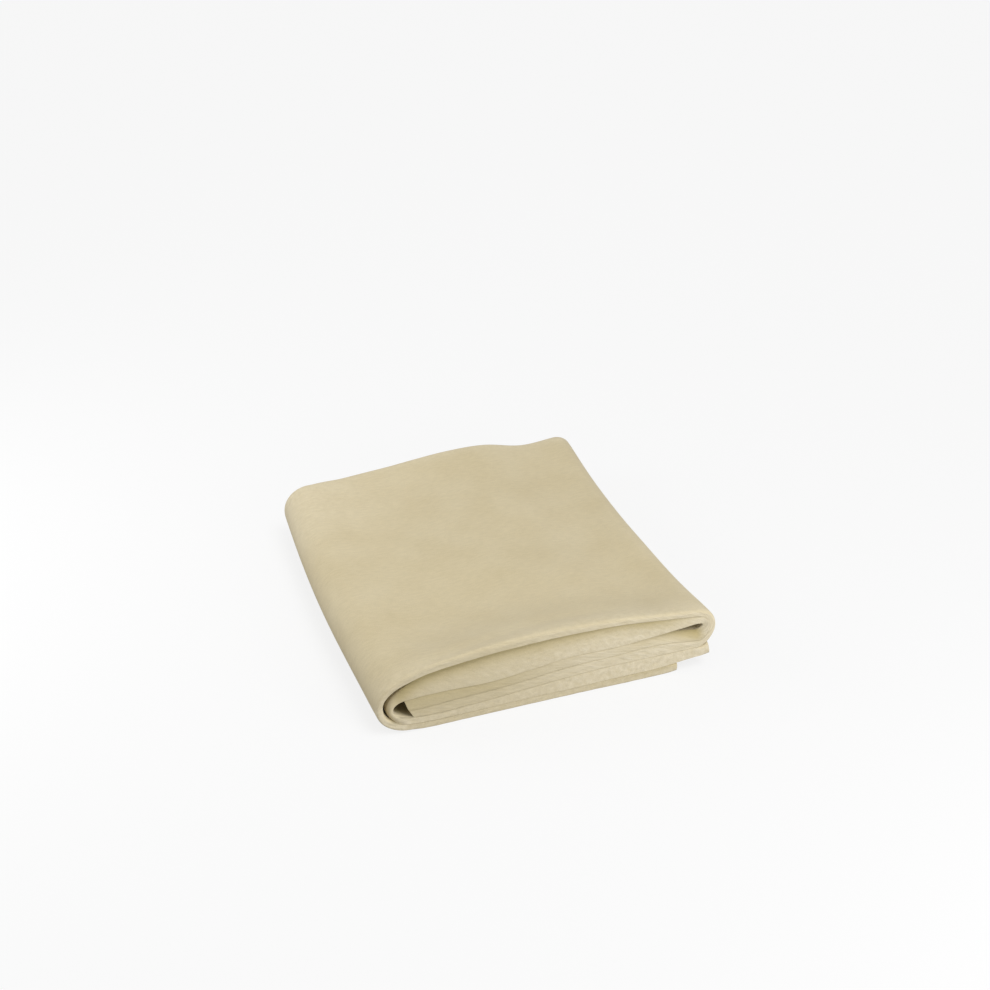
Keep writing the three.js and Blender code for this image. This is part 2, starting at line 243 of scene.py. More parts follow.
# %% [markdown]
# ## The way along the strip
# The strip is cut into rings, from the cut end under the bundle to the end of the tucked panel. Every ring
# knows its stretch and how far along that stretch it lies. Rings stand closer in the turns, where the
# skin bends most.

# %% Where each face runs
STRETCHES = [("bottom", 84), ("left_turn", 52), ("top", 84), ("right_turn", 40), ("tucked", 80)]
LENGTHS = {"bottom": 145, "left_turn": 34, "top": 137, "right_turn": 26, "tucked": 129}  # about, in mm
RUN_STARTS = dict(zip(LENGTHS, np.cumsum([0, *LENGTHS.values()])))
TUCKED_SKEW = 9 * MM  # how far the tucked panel's free end draws back, behind its front corner
TUCKED_SKEW_RUN = 40 * MM
SLOPE_STEP = 1 * MM  # the distance over which a panel's slope is measured
PANEL_RUNS = {
    "bottom": (list(BOTTOM_ENDS), [LEFT_TURN] * 4),
    "top": ([LEFT_TURN] * 4, [RIGHT_TURN] * 4),
    "tucked": ([RIGHT_TURN] * 4, list(TUCKED_ENDS)),
}
print("rings along the strip:", 1 + sum(count for _, count in STRETCHES))


def face_point(stretch, t, face, y):
    """x and z of one face. In a panel, x runs evenly and z is the face's height there. In a turn, x swings
    out by a sine, and z rises by a cosine, with a cubic added at either end so that the slope of the
    panel that it meets goes on in it."""
    if stretch in PANEL_RUNS:
        starts, ends = PANEL_RUNS[stretch]
        x = mix(starts[face], ends[face], t) + 0 * y
        if stretch == "tucked":
            x = x + TUCKED_SKEW * t * ramp(y, FRONT, FRONT + TUCKED_SKEW_RUN)
        return x, panel_faces(stack_at(x, y), stretch)[face]
    left = stretch == "left_turn"
    centre = LEFT_TURN if left else RIGHT_TURN
    inside = SLOPE_STEP if left else -SLOPE_STEP
    further_nap = (0, -1, 1, 0)[face] * (nap_at(y) - NAP)
    reach = -LEFT_REACHES[face] if left else RIGHT_REACHES[face] + further_nap
    stack, stack_inside = stack_at(centre, y), stack_at(centre + inside, y)
    heights, slopes = [], []
    for panel in ("bottom", "top") if left else ("top", "tucked"):
        heights.append(panel_faces(stack, panel)[face])
        slopes.append((panel_faces(stack_inside, panel)[face] - heights[-1]) / inside)
    pace = np.pi * reach  # how fast x moves at the turn's start; at its end it moves back as fast
    skew = 0 if left else RIGHT_SKEW * np.sin(2 * np.pi * t)
    x = centre + reach * (np.sin(np.pi * t) + skew)
    z = mix(heights[0], heights[1], (1 - np.cos(np.pi * t)) / 2)
    z = z + slopes[0] * pace * t * (1 - t) ** 2 + slopes[1] * pace * t**2 * (1 - t)
    return x + 0 * y, z


# %% Where the front and back folds lie along the strip
FRONT_INSETS = {  # how far each front fold lies behind the foremost line, across the width
    "bottom_outer": [0.0, 0.0, 0.0, 0.0, 0.1, 0.1, 0.0, -0.1, 0.0],
    "bottom_inner": [0.2, 0.2, 0.1, 0.0, -0.1, -0.2, -0.3, -0.4, -0.5],
    "tucked_outer": [0.7, 0.7, 0.7, 0.6, 0.4, 0.1, -0.2, -0.3, -0.2],
    "tucked_inner": [1.0, 1.0, 1.0, 0.9, 0.7, 0.3, -0.1, -0.2, 0.0],
    "top_inner": [1.7, 1.5, 1.2, 0.8, 0.6, 0.3, 0.0, -0.1, 0.1],
    "top_outer": [1.2, 1.1, 1.0, 0.9, 0.8, 0.8, 0.8, 0.7, 0.5],
}
INNER_LEFT_INSET = 0.4 * MM  # what the inner leaf's inset gains halfway round the left turn
BACK_CORNER_INSET = 0.1 * MM
BACK_LEFT_INSET = 2.2 * MM  # how much further forward the back fold lies at the left than at the middle
BACK_LEFT_RUN = 60 * MM


def back_inset(stretch, t, x):
    """How far the back fold lies in front of the hindmost line: a little in the turns, more at the left."""
    turn = 0 * t if stretch in PANEL_RUNS else np.sin(np.pi * t)
    at_left = 1 - ramp(x, LEFT, LEFT + BACK_LEFT_RUN)
    return BACK_CORNER_INSET * turn + BACK_LEFT_INSET * at_left


def inset_along(leaf, stretch, t, x):
    """How far a front fold lies behind the foremost one: from a panel's table, eased through a turn."""
    if stretch in PANEL_RUNS:
        return across(FRONT_INSETS[f"{stretch}_{leaf}"], x)
    left = stretch == "left_turn"
    before, after = ("bottom", "top") if left else ("top", "tucked")
    centre = LEFT_TURN if left else RIGHT_TURN
    ends = [across(FRONT_INSETS[f"{panel}_{leaf}"], centre) for panel in (before, after)]
    halfway = INNER_LEFT_INSET if left and leaf == "inner" else 0
    return mix(ends[0], ends[1], smooth(t)) + halfway * np.sin(np.pi * t)


# %% [markdown]
# ## The way across the strip
# Across the strip the skin runs from one raw edge, hidden near the back, forward along the outer leaf's
# inner ply, round its soft front fold, back along its outer ply, round the back fold to the inner leaf, and
# forward and back again through that leaf to the other raw edge. So each leaf has a raw ply, which ends in
# a cut edge, and an open ply, which runs on round the back fold. A fold's profile is a squared-off
# ellipse, because the weight of the stack presses a soft fold flatter than a circle. Only the free end
# under the bundle, which nothing presses, keeps a rounder fold, and its two plies close up.

# %% The section across the strip
FRONT_REACH = 2.4 * MM  # how far a fold stands out from the ends of its plies
BACK_REACH = 5.2 * MM
RAW_PLY = np.linspace(0, 1, 12) ** 1.6  # shares of the way from the front fold to the ply's other end
OPEN_PLY = np.linspace(0, 1, 46) ** 1.6
FRONT_TURN = np.linspace(0, np.pi, 30)[1:-1]  # angles round a fold
BACK_TURN = np.linspace(0, np.pi, 18)[1:-1]
SECTION = [
    ("outer", "raw ply", RAW_PLY[::-1]),
    ("outer", "front fold", FRONT_TURN[::-1]),
    ("outer", "open ply", OPEN_PLY),
    ("both", "back fold", BACK_TURN),
    ("inner", "open ply", OPEN_PLY[::-1]),
    ("inner", "front fold", FRONT_TURN[::-1]),
    ("inner", "raw ply", RAW_PLY),
]
print("points across the strip:", sum(len(places) for _, _, places in SECTION))


def fold_profile(angle, squareness):
    """Reach and height shares round a fold: the point where a ray at that angle leaves a curve on which
    reach and rise, each raised to the squareness, add up to 1. A squareness of 2 is a circle, and a
    higher one has a flatter face and a tighter corner."""
    reach, rise = np.sin(angle), np.cos(angle)
    size = (np.abs(reach) ** squareness + np.abs(rise) ** squareness) ** (1 / squareness)
    return reach / size, (1 - rise / size) / 2


# %% How square the folds are
SQUARENESS = {  # at the corner of a fold on the outside of the spiral, and at the one on its inside
    "outer": {
        "bottom": (6, 14),
        "left_turn": (3.4, 2.2),
        "top": (3.2, 8),
        "right_turn": (5, 20),
        "tucked": (14, 14),
    },
    "inner": {
        "bottom": (14, 14),
        "left_turn": (2.6, 3.8),
        "top": (8, 16),
        "right_turn": (20, 16),
        "tucked": (14, 14),
    },
}
BACK_SQUARENESS = 2.5
BACK_LEFT_SQUARENESS = 1.5  # how much squarer the back fold is halfway round the left turn
FREE_SQUARENESS = 2.6  # at the bottom panel's free end
FREE_SHARE = 0.06  # the share of that panel's length in which the fold gets rounder towards the end


def squareness_along(leaf, stretch, t, angle):
    """A leaf's squareness: even in a panel, but rounder towards the bottom panel's free end, and eased
    through a turn from one panel's to the next one's."""
    values = {name: np.where(angle < np.pi / 2, *pair) for name, pair in SQUARENESS[leaf].items()}
    if stretch == "bottom":
        return mix(FREE_SQUARENESS, values[stretch], ramp(t, 0, FREE_SHARE))
    if stretch in PANEL_RUNS:
        return values[stretch]
    before, after = ("bottom", "top") if stretch == "left_turn" else ("top", "tucked")
    halfway = values[stretch] - (values[before] + values[after]) / 2
    return mix(values[before], values[after], smooth(t)) + halfway * np.sin(np.pi * t)


# %% The outline as hands left it
LEFT_CORNERS_IN = 1.4 * MM  # how far the left side draws in at its corners
LEFT_BULGE = 3.1 * MM  # and how far it bulges between them
RIGHT_DRAWS_IN = 2.2 * MM  # how far the right side draws in behind its front corner
RIGHT_DRAWS_IN_BY = 0.6  # the share of the depth over which it does
RIGHT_HOLLOW = 2.4 * MM  # and how much further it draws in halfway back


def by_hand(x, y):
    """The outline isn't quite square: the left side bulges between its corners, and the right side draws
    in towards the back. Between the two sides the shift is a straight blend."""
    along = np.clip((y - FRONT) / DEPTH, 0, 1)
    halfway = np.sin(np.pi * along)
    left_shift = LEFT_CORNERS_IN - LEFT_BULGE * halfway
    right_shift = -RIGHT_DRAWS_IN * ramp(along, 0, RIGHT_DRAWS_IN_BY) - RIGHT_HOLLOW * halfway
    return x + mix(left_shift, right_shift, (x - LEFT) / WIDTH)


# %% [markdown]
# ## The parts of the section
# Each part is worked out for all rings of a stretch at once. It says how far back each point lies and how
# high it lies in its leaf, and the spiral then gives the point's place. It also says two things for the
# finish. A point gets painted shade, a deeper colour that stands in for shade, where a front draws back
# under the leaf above it, just inside the gap between two leaves, and where the left turn rolls under. A
# point is pressed in the tight corners of a fold, where the stack squares it.

# %% Fronts that draw back below their neighbours
UNDERCUT = [1.6, 1.6, 1.8, 2.0, 1.8, 1.6, 1.2, 0.8, 0.1]  # the top inner leaf, below the outer one's lip
TUCKED_UNDERCUT = [0.6, 0.6, 0.6, 0.6, 0.4, 0.1, 0.1, 1.2, 2.2]  # the tucked inner leaf, below the top one
LIP_SETS_IN, LIP_ENDS = 0.35, 0.15  # the shares of the left and of the right turn in which the lip does so
FRONT_WANDER = 0.15 * MM  # how far a front fold strays from a straight line
WANDER_LENGTH = 45  # in mm along the strip
WANDER_SEEDS = {"outer": 31, "inner": 37}


def front_line(leaf, stretch, t, x):
    """Where a leaf's front fold begins, in y: the foremost line, its inset, and a slow wander by hand."""
    run = RUN_STARTS[stretch] + LENGTHS[stretch] * t
    wander = FRONT_WANDER * ripple(run, 0 * t, WANDER_LENGTH, WANDER_SEEDS[leaf])
    return FRONT + inset_along(leaf, stretch, t, x) + wander + FRONT_REACH


def undercut_along(leaf, stretch, t, x):
    """How far an inner leaf's front draws back at its upper edge: the top panel's at the side of the outer
    leaf above it, and the tucked panel's at the side of the top panel."""
    if leaf == "outer":
        return 0 * x, 0 * x
    lip = {"left_turn": ramp(t, 0, LIP_SETS_IN), "top": 1, "right_turn": 1 - ramp(t, 0, LIP_ENDS)}
    under = {"right_turn": smooth(t), "tucked": 1}
    return across(UNDERCUT, x) * lip.get(stretch, 0), across(TUCKED_UNDERCUT, x) * under.get(stretch, 0)


# %% Shade painted on a front below its neighbour
# Each one holds shares of painted shade and depths in mm, both across the width, and the face that the depth
# starts from.
LIP_SHADE = [0.9, 0.9, 0.9, 0.85, 0.75, 0.7, 0.65, 0.65, 0], [4, 4.2, 4.5, 4.5, 4.5, 4, 3.5, 3.2, 3], 2
TUCKED_SHADE = [0.5, 0.5, 0.5, 0.4, 0.3, 0.1, 0, 0.5, 1], [7, 7.5, 7.5, 7, 6, 5, 4, 2.5, 3.5], 3
LOWEST_SHADE = [0.1, 0.1, 0.1, 0.1, 0.1, 0.15, 0.3, 0.45, 0.5], [6, 6, 6, 6, 5, 4, 3, 2.5, 2.5], 1
TURN_SHADE_FROM = 0.6  # the share of a turn from which its shade sets in


def shade_below(leaf, stretch, t, x, y, z):
    """How much shade is painted into the colour of a front below the fold above it: a share along the width,
    times a bell curve of the depth below that fold. The top inner leaf lies below the lip, the tucked panel
    below the top one, and the lowest leaf below the one that it carries."""
    if leaf == "inner" and stretch in ("left_turn", "top"):
        shares, widths, face = LIP_SHADE
    elif stretch in ("right_turn", "tucked"):
        shares, widths, face = TUCKED_SHADE
    elif leaf == "outer" and stretch == "bottom":
        shares, widths, face = LOWEST_SHADE
    else:
        return 0
    depth = np.maximum(face_point(stretch, t, face, y)[1] - z, 0)
    share = across(shares, x) / MM * bell(depth, across(widths, x))
    return share if stretch in PANEL_RUNS else share * ramp(t, TURN_SHADE_FROM, 1)


# %% The back fold, a front fold and a ply
LIP_POWER, UNDER_POWER = 2.2, 1.6  # how tightly the two undercuts keep to the upper edge
GROOVE_POWER = 2.2  # how tightly the shade painted in the left turn's groove keeps to the inside of its folds
PRESSED_FROM, PRESSED_AT = 4, 8  # the squareness from which a corner is pressed, and fully is
STREAK = 0.05 * MM  # how deep the soft streaks along the front folds are
STREAK_DRAWN, STREAK_ROWS, STREAK_WAVE = 3.5, 4, 2.4  # how long they are drawn, rows up a fold, spacing
STREAK_SEEDS = {"outer": 51, "inner": 57}
SHADE_PAINT_DEPTH = 2.6 * MM  # how far in from a front the painted shade sets in
SHADE_PAINT_FADES = 7 * MM  # and how far further in it fades out again
ROLLED_UNDER = 0.9  # how much shade is painted on the lowest part of the left turn's outside, where it rolls under
ROLLED_UNDER_TO = 0.625  # the share of that turn at which it ends


def back_fold_part(stretch, t, x, places, lining):
    """The back fold: y, the height share, and no painted shade or press. It is squarer halfway round the
    left turn."""
    at_left = np.sin(np.pi * t) if stretch == "left_turn" else 0 * t
    reach, height = fold_profile(places, BACK_SQUARENESS + BACK_LEFT_SQUARENESS * at_left)
    y = BACK - back_inset(stretch, t, x) - BACK_REACH + (BACK_REACH - PLY * lining) * reach
    return y, height, 0, 0


def front_fold_part(leaf, stretch, t, x, places, lining):
    """A front fold: y, the height share, and how much painted shade it gets and how pressed it is. It draws
    back by the undercuts and waves a little by the streaks. In the left turn the side of the fold that faces
    the other leaf gets painted shade, and corners above a certain squareness are pressed."""
    squareness = squareness_along(leaf, stretch, t, places)
    reach, height = fold_profile(places, squareness)
    lip, under = undercut_along(leaf, stretch, t, x)
    drawn_back = (lip * (1 - height) ** LIP_POWER + under * height**UNDER_POWER) * reach
    y = front_line(leaf, stretch, t, x) - (FRONT_REACH - PLY * lining) * reach + drawn_back
    run = RUN_STARTS[stretch] + LENGTHS[stretch] * t + 0 * height
    y = y + STREAK * reach * ripple(run / STREAK_DRAWN, height * STREAK_ROWS, STREAK_WAVE, STREAK_SEEDS[leaf])
    in_groove = (places > np.pi / 2) == (leaf == "outer")
    # painted shade on the side of a left turn fold that faces the other leaf
    painted_shade = in_groove * (1 - reach) ** GROOVE_POWER if stretch == "left_turn" else 0
    corner = ramp(np.abs(2 * height - 1), 0.5, 0.9) * ramp(reach, 0, 0.5)
    pressed = corner * np.clip((squareness - PRESSED_FROM) / (PRESSED_AT - PRESSED_FROM), 0, 1)
    return y, height, painted_shade, pressed


def ply_part(leaf, kind, stretch, t, x, places):
    """A ply: y, the height share, how much painted shade it gets, and no press. The painted shade sets in
    behind the front and fades out further in. On the left turn's outside it doesn't fade, and it lies only
    where that rolls under towards the floor. The top panel's outside has none."""
    height = 1.0 if (leaf == "outer") == (kind == "raw ply") else 0.0
    front_y = front_line(leaf, stretch, t, x)
    end_y = (RAW_EDGE if kind == "raw ply" else SEAM) - back_inset(stretch, t, x)
    y = mix(front_y, end_y, places)
    shade_paint, fades = 1, bell(np.maximum(y - front_y - SHADE_PAINT_DEPTH, 0), SHADE_PAINT_FADES)
    if leaf == "outer" and kind == "open ply":
        shade_paint = {"bottom": 1, "right_turn": smooth(t), "tucked": 1}.get(stretch, 0)
        if stretch == "left_turn":
            # painted shade where the left turn rolls under towards the floor
            shade_paint, fades = ROLLED_UNDER * (1 - ramp(t, 0, ROLLED_UNDER_TO)), 1
    return y, height, shade_paint * fades * (1 - bell(y - front_y, SHADE_PAINT_DEPTH)), 0


# %% The skin as two grids of points
CLOSING_SHARE = 0.12  # the share of the bottom panel's length in which a leaf's two plies close up to its end
CLOSING = 0.75  # the share of the air between them that goes
CLOSING_DEPTH = 10 * MM  # how far behind the front it does
FACES = {"outer": (0, 1), "inner": (2, 3), "both": (0, 3)}


def closing_up(leaf, t, depth, air):
    """How far a raw ply of the bottom panel moves towards the leaf's other ply at the free end: a share of
    the air between them, which grows with the depth behind the front."""
    at_end = 1 - ramp(t, 0, CLOSING_SHARE)
    return (-1 if leaf == "outer" else 1) * CLOSING * air * at_end * (1 - bell(depth, CLOSING_DEPTH))


def section_part(stretch, t, leaf, kind, places, lining):
    """One part of the section for all rings of a stretch: its points, and how much painted shade each one
    gets and how pressed it is. y comes from the part. x and z lie between the two faces of the leaf by the
    height share, and the lining, which is the skin's other side, lies one ply further in."""
    x = face_point(stretch, t, 0, np.array([[0.0]]))[0]
    places = places[None, :] + 0 * t
    if kind == "back fold":
        y, height, painted_shade, pressed = back_fold_part(stretch, t, x, places, lining)
    elif kind == "front fold":
        y, height, painted_shade, pressed = front_fold_part(leaf, stretch, t, x, places, lining)
    else:
        y, height, painted_shade, pressed = ply_part(leaf, kind, stretch, t, x, places)
    (xa, za), (xb, zb) = (face_point(stretch, t, face, y) for face in FACES[leaf])
    gap = np.hypot(xb - xa, zb - za)
    share = height + PLY * (1 - 2 * height) * lining / gap
    z = mix(za, zb, share)
    if stretch == "bottom" and kind == "raw ply":
        z = z + closing_up(leaf, t, y - front_line(leaf, stretch, t, x), gap - LEAF)
    if kind == "front fold":
        # painted shade on a front below the fold above it
        painted_shade = np.maximum(painted_shade, shade_below(leaf, stretch, t, x, y, z))
    points = np.stack([by_hand(mix(xa, xb, share), y), y, z], axis=-1)
    return points, np.stack([painted_shade + 0 * y, pressed + 0 * y], axis=-1)


def skin_grids():
    """Both sides of the skin as arrays of rings by section points, how much painted shade and how pressed
    each point is, and each ring's stretch."""
    sides, states, rings = [[], []], [], []
    for stretch, count in STRETCHES:
        t = np.linspace(0, 1, count + 1)[(0 if stretch == "bottom" else 1):][:, None]
        rings += [(stretch, float(share)) for share in t[:, 0]]
        for lining in (0, 1):
            parts = [section_part(stretch, t, *part, lining) for part in SECTION]
            sides[lining].append(np.concatenate([points for points, _ in parts], axis=1))
            state = np.concatenate([state for _, state in parts], axis=1)
        states.append(state)
    return np.concatenate(sides[0]), np.concatenate(sides[1]), np.concatenate(states), rings


outer_side, inner_side, states, rings = skin_grids()
painted_shade, pressed = states[..., 0], states[..., 1]
centring = -(outer_side.min((0, 1)) + outer_side.max((0, 1))) / 2 * (1, 1, 0)
outer_side, inner_side = outer_side + centring, inner_side + centring
print("moved to the middle of the frame by, mm:", (centring / MM).round(2))


# %% Coordinates on the skin itself
def grid_normals(points, towards):
    """Unit normals of a grid: the cross product of its slopes along and across, on the given side."""
    along, across_strip = np.gradient(points, axis=0), np.gradient(points, axis=1)
    normal = np.cross(along, across_strip)
    normal /= np.linalg.norm(normal, axis=-1, keepdims=True) + 1e-12
    return normal * np.sign((normal * towards).sum(-1, keepdims=True))


middle = (outer_side + inner_side) / 2
skin_run = np.zeros(middle.shape)
skin_run[1:, :, 0] = np.linalg.norm(np.diff(middle, axis=0), axis=-1).cumsum(axis=0)
skin_run[:, 1:, 1] = np.linalg.norm(np.diff(middle, axis=1), axis=-1).cumsum(axis=1)
outer_normals = grid_normals(outer_side, outer_side - inner_side)
inner_normals = grid_normals(inner_side, inner_side - outer_side)
print("skin grid:", outer_side.shape[:2], "length along and across, mm:", skin_run.max((0, 1))[:2] / MM)

# %% [markdown]
# ## Where the nap is open, with painted sheen and shade
# The nap is longer and paler where the leather is rubbed: on the fronts and along the back fold. The back
# left corner of the top is paler too, which is a painted sheen. On the top's front edge, which curves up and
# back, the pale nap is a broad, faint band and not a line, and it also paints a highlight there. The fronts
# are kept less pale left of the middle, which is painted shade, and the more painted shade a place has, the
# less pale nap it gets.

# %% Open nap, painted sheen and painted shade
UP_DAMPS = 0.9  # how much of the front's fuzz goes where the skin faces up
FRONT_BAND = 0.35  # how open the nap is in the broad band there, which is also a painted highlight on the top's front roll
BACK_BAND = 0.4
# a painted sheen: the back left corner of the top is paler
CORNER_PATCH = 0.5
CORNER_PATCH_SIZE = 45 * MM
LEFT_FRONT_SHADE = 0.45  # painted shade: how much less pale the fronts and the top's front roll are left of the middle
LEFT_FRONT_SHADE_AT, LEFT_FRONT_SHADE_WIDTH = -28 * MM, 45 * MM


def edge_band(distance, even, fades):
    """1 as far as even from an edge, and then a bell curve that falls over the distance fades."""
    return bell(np.maximum(distance - even, 0), fades)


behind_front, before_back = middle[..., 1] - FRONT, BACK - middle[..., 1]
facing_up = ramp(outer_normals[..., 2], 0.1, 0.7)
near_front = edge_band(behind_front, 0.8 * MM, 1.8 * MM) * (1 - UP_DAMPS * facing_up)
# open nap and a painted highlight on the up-facing front roll of the top
broad_front = FRONT_BAND * facing_up * edge_band(behind_front, 2 * MM, 9 * MM)
near_back = BACK_BAND * edge_band(before_back, 2 * MM, 5 * MM)
# painted sheen on the back left corner of the top
back_corner = CORNER_PATCH * bell(np.hypot(middle[..., 0] - LEFT, before_back), CORNER_PATCH_SIZE)
# painted shade: the fronts and the top's front roll are less pale left of the middle
left_shade_factor = 1 - LEFT_FRONT_SHADE * bell(middle[..., 0] - LEFT_FRONT_SHADE_AT, LEFT_FRONT_SHADE_WIDTH)
nap_and_sheen = np.maximum.reduce([near_front * left_shade_factor, broad_front * left_shade_factor, near_back, back_corner])
# painted shade: the more painted shade a place has, the less pale nap it gets
nap_and_sheen = nap_and_sheen * (1 - painted_shade)
print("mean fuzz and shelter:", round(float(nap_and_sheen.mean()), 3), round(float(painted_shade.mean()), 3))

# %% [markdown]
# ## From grids to meshes
# The skin is one sheet, but it is made in two pieces, because the bundle opens at the left turn. The first
# piece runs round that turn and reaches up to the middle of the right turn, and the second holds the rest.
# Both keep the smooth normals of the whole skin, so that no line shows where they meet. In the pressed
# corners the normals are turned to the front, so that neighbouring folds look grown together, as fuzzy
# leather does.

# %% Meshes with the skin's own normals
TURNED_TO_FRONT = 0.85  # how far the normals of a pressed corner are turned
RIM_ROUND = 0.15 * PLY  # how far a cut edge is rounded out

outer_normals = mix(outer_normals, np.array([0.0, -1.0, 0.0]), TURNED_TO_FRONT * pressed[..., None])
outer_normals /= np.linalg.norm(outer_normals, axis=-1, keepdims=True)


def mesh_object(name, points, quads, normals):
    """Puts whole arrays into a mesh, shades it smooth and gives it the normals that were worked out."""
    mesh = bpy.data.meshes.new(name)
    mesh.vertices.add(len(points))
    mesh.vertices.foreach_set("co", points.astype(np.float32).ravel())
    mesh.loops.add(quads.size)
    mesh.loops.foreach_set("vertex_index", quads.astype(np.int32).ravel())
    mesh.polygons.add(len(quads))
    mesh.polygons.foreach_set("loop_start", np.arange(0, quads.size, 4, dtype=np.int32))
    mesh.polygons.foreach_set("use_smooth", np.ones(len(quads), bool))
    mesh.update(calc_edges=True)
    mesh.validate()
    mesh.normals_split_custom_set_from_vertices(normals.astype(np.float32).tolist())
    made = bpy.data.objects.new(name, mesh)
    bpy.context.scene.collection.objects.link(made)
    print(name, "triangles:", 2 * len(quads))
    return made


def skin_piece(name, first, last):
    """A closed mesh of the rings from first to last: the two sides, and a rounded rim all round them. The
    rim has one row of points half a ply deep, pushed out a little beyond the cut."""
    sides = [outer_side[first : last + 1], inner_side[first : last + 1]]
    normals = [outer_normals[first : last + 1], inner_normals[first : last + 1]]
    rows, columns = sides[0].shape[:2]
    index = np.arange(rows * columns).reshape(rows, columns)
    outer, inner = index, index + rows * columns
    points = [side.reshape(-1, 3) for side in sides]
    shading = [normal.reshape(-1, 3) for normal in normals]
    quads = []

    def patch(a, flip):
        q = np.stack([a[:-1, :-1], a[1:, :-1], a[1:, 1:], a[:-1, 1:]], axis=-1).reshape(-1, 4)
        quads.append(q[:, ::-1] if flip else q)

    facing = np.cross(sides[0][1, 0] - sides[0][0, 0], sides[0][0, 1] - sides[0][0, 0]) @ normals[0][0, 0]
    patch(outer, facing < 0)
    patch(inner, facing > 0)
    ring = np.concatenate([outer[0, :-1], outer[:-1, -1], outer[-1, :0:-1], outer[:0:-1, 0]])
    flat = np.concatenate(points)
    step_in = np.concatenate([index[1, :-1], index[:-1, -2], index[-2, :0:-1], index[:0:-1, 1]])
    outward = flat[ring] - flat[step_in]
    outward /= np.linalg.norm(outward, axis=1, keepdims=True)
    rim = (flat[ring] + flat[ring + rows * columns]) / 2 + outward * RIM_ROUND
    rim_index = 2 * rows * columns + np.arange(len(ring))
    points.append(rim)
    shading.append(outward)
    places = np.tile(skin_run[first : last + 1].reshape(-1, 3), (2, 1))
    places = np.concatenate([places, places[ring]])
    finishes = []
    for values in (nap_and_sheen, painted_shade):
        both = np.tile(values[first : last + 1].ravel(), 2)
        finishes.append(np.concatenate([both, both[ring]]))
    for a, b in ((ring, rim_index), (rim_index, ring + rows * columns)):
        q = np.stack([a, np.roll(a, -1), np.roll(b, -1), b], axis=-1)
        quads.append(q if facing > 0 else q[:, ::-1])
    made = mesh_object(name, np.concatenate(points), np.concatenate(quads), np.concatenate(shading))
    made.data.attributes.new("skin_run", "FLOAT_VECTOR", "POINT").data.foreach_set("vector", places.ravel())
    for title, values in zip(("nap_and_sheen", "painted_shade"), finishes):
        made.data.attributes.new(title, "FLOAT", "POINT").data.foreach_set("value", values)
    return made


parting = next(i for i, (stretch, t) in enumerate(rings) if stretch == "right_turn" and t >= 0.5)
wrap = skin_piece("chamois_wrap", 0, parting)
tucked = skin_piece("chamois_tucked", parting, len(rings) - 1)

# %% [markdown]
# ## The finish
# Chamois has no grain like smooth leather: both sides are buffed to a short nap, so it looks like felt from
# close by. Four layers of noise make that up: a slow mottle where the hide is denser, clumps of nap of two
# or three millimetres, streaks along the strip, and the fibres themselves. They read the skin's own
# coordinates, so the nap follows the leather round every fold. The nap-and-sheen mask makes it paler where
# it is rubbed open and where a sheen or a highlight is painted. The painted-shade mask paints shade into the
# colour, deeper and yellower in the grooves between the leaves, where light bounces from nap to nap. It
# fades further in, so that the faces look plain when the bundle opens.

# %% Helpers for the nap's nodes
NOISE_LOW, NOISE_HIGH = 0.32, 0.68  # most of a noise's values lie between these


def add_node(tree, kind, at, **values):
    """Adds a node at a place, and sets its plain properties and the values of its sockets by name."""
    node = tree.nodes.new(kind)
    node.location = at
    for name, value in values.items():
        if name in node.inputs:
            node.inputs[name].default_value = value
        else:
            setattr(node, name, value)
    return node


def noise_layer(tree, vector, at, scale, detail):
    """A noise texture of about the given number of features in a metre."""
    node = add_node(tree, "ShaderNodeTexNoise", at, Scale=scale, Detail=detail, Roughness=0.55)
    tree.links.new(vector, node.inputs["Vector"])
    return node.outputs["Fac"]


def spread(tree, value, at, low, high):
    """Stretches the middle of a noise to the full span from low to high, and cuts off what lies beyond."""
    node = add_node(tree, "ShaderNodeMapRange", at, clamp=True)
    span = {"From Min": NOISE_LOW, "From Max": NOISE_HIGH, "To Min": low, "To Max": high}
    for name, number in span.items():
        node.inputs[name].default_value = number
    tree.links.new(value, node.inputs["Value"])
    return node.outputs["Result"]


def arithmetic(tree, operation, a, b, at, c=0.0):
    """One Math node of two or three values, each a socket or a number."""
    node = add_node(tree, "ShaderNodeMath", at, operation=operation)
    for socket, value in zip(node.inputs, (a, b, c)):
        if isinstance(value, (int, float)):
            socket.default_value = value
        else:
            tree.links.new(value, socket)
    return node.outputs["Value"]


def blend_colours(tree, share, a, b, at):
    """A Mix node of two colours, each a socket or a plain colour."""
    node = add_node(tree, "ShaderNodeMix", at, data_type="RGBA")
    tree.links.new(share, node.inputs["Factor"])
    for socket, value in ((node.inputs[6], a), (node.inputs[7], b)):
        if isinstance(value, tuple):
            socket.default_value = value
        else:
            tree.links.new(value, socket)
    return node.outputs[2]


# %% Mottle, clumps, streaks and fibres
MOTTLE, CLUMPS, STREAKS, FIBRES = 42, 420, 900, 2300  # how many of each there are in a metre, about
STREAK_SQUEEZE = 0.28  # the run along the strip counts for so much, which draws the streaks out
FLAT_CLUMPS, OPEN_CLUMPS = 0.35, 0.7  # how high clumps stand in flat nap, and how much open nap adds
FIBRE_HEIGHT = 0.35
STREAK_HEIGHT = 0.25


